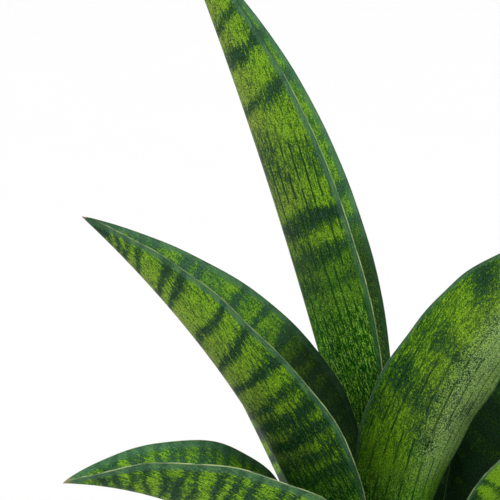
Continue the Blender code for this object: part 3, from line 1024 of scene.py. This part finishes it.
class PLANT_OT_potting_mix(bpy.types.Operator):
    """Fill the pot with a crumbly mix of peat, bark and perlite"""

    bl_idname = "snake_plant.potting_mix"
    bl_label = "Potting mix"

    def execute(self, context):
        look = context.scene.snake_plant_mix
        low, high = POT_FLOOR + GAP, MIX_TOP - MIX_DIP
        corners = (
            (0.02, low, 0),
            (pot_inside(low) - GAP, low, 0.003),
            (pot_inside(high) - GAP, high, 0.0006),
            (pot_inside(high) - GAP - 0.005, MIX_TOP, 0.001),
            (0.002, MIX_TOP, 0),
        )
        bed = turned("mix_bed", softened(corners, 0.0011), MIX_TURNS, self.crumble)
        place_piece(bed, self.earth("mix_bed_earth", look.peat, look.bark, 0.55), "mix_bed", "potting_mix")
        ground, dice = crown_reach(), Random(71)
        kinds = (
            (CRUMBS, look.crumbs, look.peat, look.bark, 0.6),
            (CHIPS, look.chips, look.bark, look.peat, 0.6),
            (GRAINS, look.grains, look.perlite, look.bark, 0.3),
        )
        for kind, count, main, other, patch in kinds:
            earth = self.earth(kind.name + "_earth", main, other, patch)
            place_piece(self.scattered(kind, count, dice, *ground), earth, kind.name, slot="potting_mix")
        return {"FINISHED"}

    def crumble(self, place):
        """Raises and lowers the top of the mix, and leaves its sides and floor."""
        if place.z < MIX_TOP - MIX_DIP - 0.0004:
            return place
        lift = uneven(place, (0.0016, 130), (0.0009, 420), (0.0004, 1100))
        inset = min(1.0, (pot_inside(MIX_TOP) - Vector(place[:2]).length) / 0.002)
        return place + Vector((0, 0, lift * max(0.0, inset)))

    def scattered(self, kind, count, dice, angles, reach, feet):
        """Crumbs of one kind lying on the mix and the crown, clear of the leaves' feet."""
        ball = bmesh.new()
        bmesh.ops.create_icosphere(ball, subdivisions=kind.detail, radius=1.0)
        corners = np.array([vertex.co[:] for vertex in ball.verts])
        corners = np.sign(corners) * np.abs(corners) ** kind.square
        triangles = np.array([[vertex.index for vertex in face.verts] for face in ball.faces])
        ball.free()
        points, faces, shades = [], [], []
        wall = pot_inside(MIX_TOP) - WALL_CLEARANCE
        while len(points) < count:
            size = between(kind.sizes, dice.random() ** 2.2)
            turn, radius = dice.uniform(0, 2 * pi), wall * dice.random() ** 0.5
            edge = float(np.interp(turn, angles, reach, period=2 * pi)) - 0.001
            spot = Vector((radius * cos(turn), radius * sin(turn), MIX_TOP - 0.0002))
            gap = float(np.min(np.hypot(feet[:, 0] - spot.x, feet[:, 1] - spot.y)))
            if radius > wall - size or gap < FOOT_CLEARANCE + size:
                continue
            spot = self.crumble(spot) if radius > edge else Vector((spot.x, spot.y, CROWN_TOP))
            spot.z += size * kind.shape[2] * dice.uniform(0.0, 0.7)
            spot.z -= MIX_DIP * float(rise(radius, wall - 0.006, wall))
            dents = np.array([[dice.uniform(-DENT, DENT) for _ in range(3)] for _ in corners])
            turn = Matrix.Rotation(dice.uniform(0, 2 * pi), 3, "Z")
            turn = turn @ Matrix.Rotation(dice.uniform(-0.5, 0.5), 3, "X")
            scaled = (corners + dents) * np.array(kind.shape) * size * dice.uniform(0.8, 1.2)
            points.append(scaled @ np.array(turn).T + np.array(spot))
            faces.append(triangles + len(corners) * (len(points) - 1))
            shades.append(np.full(len(corners), dice.random()))
        mesh = mesh_from(kind.name, np.concatenate(points).tolist(), np.concatenate(faces).tolist())
        mesh.attributes.new("shade", "FLOAT", "POINT").data.foreach_set("value", np.concatenate(shades))
        return mesh

    def earth(self, name, main, other, patch):
        """Crumbs that each lean a little towards the other colour."""
        material, sheet, shader = new_material(name)
        made = weathered(sheet, (main, other, [value * 0.3 for value in main]), (patch, 0.5), (0.006, 0.0009))
        dimmed = sheet.times(sheet.attribute("shade"), 0.45)
        colour = sheet.blend(dimmed, made["Color"], [value * 0.4 for value in main])
        coat(sheet, shader, colour, sheet.ramp(made["Cloud"], 0.3, 0.7, 0.8, 0.98), 0.2)
        bump(sheet, shader, made["Grain"], 0.7, 0.0005)
        return material


class PLANT_OT_pot(bpy.types.Operator):
    """Turn the clay pot, with a banded rim and four drain holes"""

    bl_idname = "snake_plant.pot"
    bl_label = "Pot"

    def execute(self, context):
        shoulder = POT_HEIGHT - POT_RIM_BAND
        corners = (
            (0.030, 0.0, 0),
            (POT_BASE_RADIUS, 0.0, 0.0016),
            (POT_SHOULDER_RADIUS, shoulder, 0.0010),
            (POT_RIM_RADIUS - 0.0015, shoulder + 0.0008, 0.0018),
            (POT_RIM_RADIUS, POT_HEIGHT, 0.0034),
            (pot_inside(POT_HEIGHT), POT_HEIGHT, 0.0026),
            (pot_inside(POT_FLOOR), POT_FLOOR, 0.005),
            (0.030, POT_FLOOR, 0),
        )
        body = turned("pot_body", softened(corners, 0.0012), POT_TURNS, self.throw)
        drill = placed("drill", self.drains())
        settings = {"operation": "DIFFERENCE", "object": drill, "solver": "EXACT"}
        mesh = applied(body, (("BOOLEAN", settings),))
        bpy.data.objects.remove(drill)
        mesh.name = "clay_pot"
        mesh.shade_smooth()
        mesh.set_sharp_from_angle(angle=radians(40))
        mesh.materials.clear()
        place_piece(mesh, self.clay(context.scene.snake_plant_pot), "clay_pot", "pot", smooth=False)
        return {"FINISHED"}

    def throw(self, place):
        """Leaves faint throwing rings and a slight unevenness on the walls."""
        out = Vector((place.x, place.y, 0))
        if out.length < 0.036 or place.z < 0.0005:
            return place
        ring = 0.0001 * sin(place.z * 1750 + uneven(place, (2.0, 30)))
        return place + out.normalized() * (ring + uneven(place, (0.00022, 45)) - 0.0001)

    def drains(self):
        bm = bmesh.new()
        for angle in whole_turn(DRAIN_COUNT) + pi / DRAIN_COUNT:
            x, y = DRAIN_RING_RADIUS * cos(angle), DRAIN_RING_RADIUS * sin(angle)
            ring = [(x + DRAIN_RADIUS * cos(a), y + DRAIN_RADIUS * sin(a)) for a in whole_turn(DRAIN_TURNS)]
            tube(bm, [[(px, py, z) for px, py in ring] for z in (-0.002, POT_FLOOR + 0.002)])
        bmesh.ops.recalc_face_normals(bm, faces=bm.faces)
        return mesh_of("drill", bm)

    def clay(self, look):
        """Fired clay, damper low down and bloomed with lime above, with speckle and fine wheel marks."""
        material, sheet, shader = new_material("fired_clay")
        made = weathered(sheet, (look.clay, look.bloom, look.damp), (0.16, 0.45), (0.022, 0.0011))
        where = sheet.object_place()
        height = sheet.split(where)[2]
        edge = sheet.scaled(made["Cloud"], 0.05, height)
        damp = sheet.ramp(edge, 0.062, 0.028, 0.0, 0.5)
        colour = sheet.blend(damp, made["Color"], look.damp)
        tide = sheet.times(sheet.ramp(edge, 0.040, 0.056), sheet.ramp(edge, 0.078, 0.058))
        colour = sheet.blend(sheet.times(tide, 0.28), colour, look.bloom)
        crust = sheet.ramp(sheet.scaled(made["Cloud"], 0.012, height), 0.112, 0.121, 0.0, 0.35)
        colour = sheet.blend(crust, colour, look.bloom)
        wheel = sheet.noise(sheet.stretch(where, (60.0, 60.0, 1500.0)), 1.0, 3.0, 0.6)
        colour = sheet.blend(sheet.ramp(wheel, 0.5, 0.75, 0.0, 0.2), colour, look.damp)
        smooth, rough = look.roughness - 0.07, look.roughness + 0.10
        coat(sheet, shader, colour, sheet.ramp(made["Cloud"], 0.3, 0.7, smooth, rough), 0.25)
        bump(sheet, shader, sheet.scaled(wheel, 0.6, made["Grain"]), 0.4, 0.0004)
        return material


# Studio

FLOOR_RADIUS = 12.0
FLOOR_DROP = 0.0002
SUN_DISTANCE = 1.5


class PLANT_OT_stage(bpy.types.Operator):
    """Lay the floor, light the plant and set the camera"""

    bl_idname = "snake_plant.stage"
    bl_label = "Studio"

    def execute(self, context):
        look = context.scene.snake_plant_stage
        self.lay_floor(look)
        self.light_world(context.scene, look)
        self.add_sun("key_light", radians(66), radians(48), look.key, radians(30))
        self.add_sun("fill_light", radians(-50), radians(38), look.fill, radians(60))
        self.set_camera(context.scene, look)
        return {"FINISHED"}

    def lay_floor(self, look):
        bm = bmesh.new()
        bmesh.ops.create_circle(bm, cap_ends=True, segments=96, radius=FLOOR_RADIUS)
        floor = placed("studio_floor", mesh_of("studio_floor", bm))
        floor.location.z = -FLOOR_DROP
        material, sheet, shader = new_material("studio_floor_paint")
        where = sheet.object_place()
        shade = [value * 0.985 for value in look.floor]
        tone = sheet.blend(sheet.noise(where, 3.0, 3.0), tuple(look.floor), shade)
        coat(sheet, shader, tone, 0.9, 0.1)
        floor.data.materials.append(material)

    def light_world(self, scene, look):
        """White all round for the eye, and a gentler glow for the light it gives."""
        world = bpy.data.worlds.new("studio_surround")
        world.use_nodes = True
        sheet = Sheet(world.node_tree)
        back = world.node_tree.nodes["Background"]
        seen = sheet.node("ShaderNodeLightPath").outputs["Is Camera Ray"]
        back.inputs["Color"].default_value = (1.0, 1.0, 1.0, 1.0)
        sheet.feed(back.inputs["Strength"], sheet.scaled(seen, 1.0 - look.sky, look.sky))
        scene.world = world

    def add_sun(self, name, heading, elevation, strength, spread):
        light = bpy.data.lights.new(name, "SUN")
        light.energy = strength
        light.angle = spread
        sun = placed(name, light)
        towards = Vector((cos(elevation) * sin(heading), -cos(elevation) * cos(heading), sin(elevation)))
        sun.location = towards * SUN_DISTANCE
        sun.rotation_euler = towards.to_track_quat("Z", "Y").to_euler()

    def set_camera(self, scene, look):
        camera = bpy.data.cameras.new("studio_camera")
        camera.lens = look.lens
        camera.sensor_width = 36
        camera.clip_end = 100
        holder = placed("studio_camera", camera)
        back = Vector((0.0, -cos(look.elevation), sin(look.elevation)))
        holder.location = Vector(look.aim) + look.distance * back
        holder.rotation_euler = (pi / 2 - look.elevation, 0.0, 0.0)
        scene.camera = holder
        scene.view_settings.view_transform = "Standard"


class PLANT_PT_panel(bpy.types.Panel):
    """Lists what the plant is made of"""

    bl_idname = "PLANT_PT_panel"
    bl_label = "Snake plant"
    bl_space_type = "VIEW_3D"
    bl_region_type = "UI"
    bl_category = "Snake plant"

    def draw(self, context):
        for operator, look in PARTS:
            box = self.layout.box()
            box.operator(operator.bl_idname)
            group = getattr(context.scene, look)
            for name in group.__annotations__:
                box.prop(group, name)


PARTS = (
    (PLANT_OT_leaves, "snake_plant_leaf"),
    (PLANT_OT_rhizome, "snake_plant_mix"),
    (PLANT_OT_potting_mix, "snake_plant_mix"),
    (PLANT_OT_pot, "snake_plant_pot"),
    (PLANT_OT_stage, "snake_plant_stage"),
)
LOOKS = {
    "snake_plant_leaf": LeafLook,
    "snake_plant_pot": PotLook,
    "snake_plant_mix": MixLook,
    "snake_plant_stage": StageLook,
}


def register():
    for look in LOOKS.values():
        bpy.utils.register_class(look)
    for name, look in LOOKS.items():
        setattr(bpy.types.Scene, name, bpy.props.PointerProperty(type=look))
    for operator, _ in PARTS:
        bpy.utils.register_class(operator)
    bpy.utils.register_class(PLANT_PT_panel)


def unregister():
    bpy.utils.unregister_class(PLANT_PT_panel)
    for operator, _ in PARTS:
        bpy.utils.unregister_class(operator)
    for name, look in LOOKS.items():
        delattr(bpy.types.Scene, name)
        bpy.utils.unregister_class(look)


def main():
    register()
    bpy.ops.snake_plant.leaves()
    bpy.ops.snake_plant.rhizome()
    bpy.ops.snake_plant.potting_mix()
    bpy.ops.snake_plant.pot()
    bpy.ops.snake_plant.stage()
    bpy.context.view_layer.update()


if __name__ == "__main__":
    main()
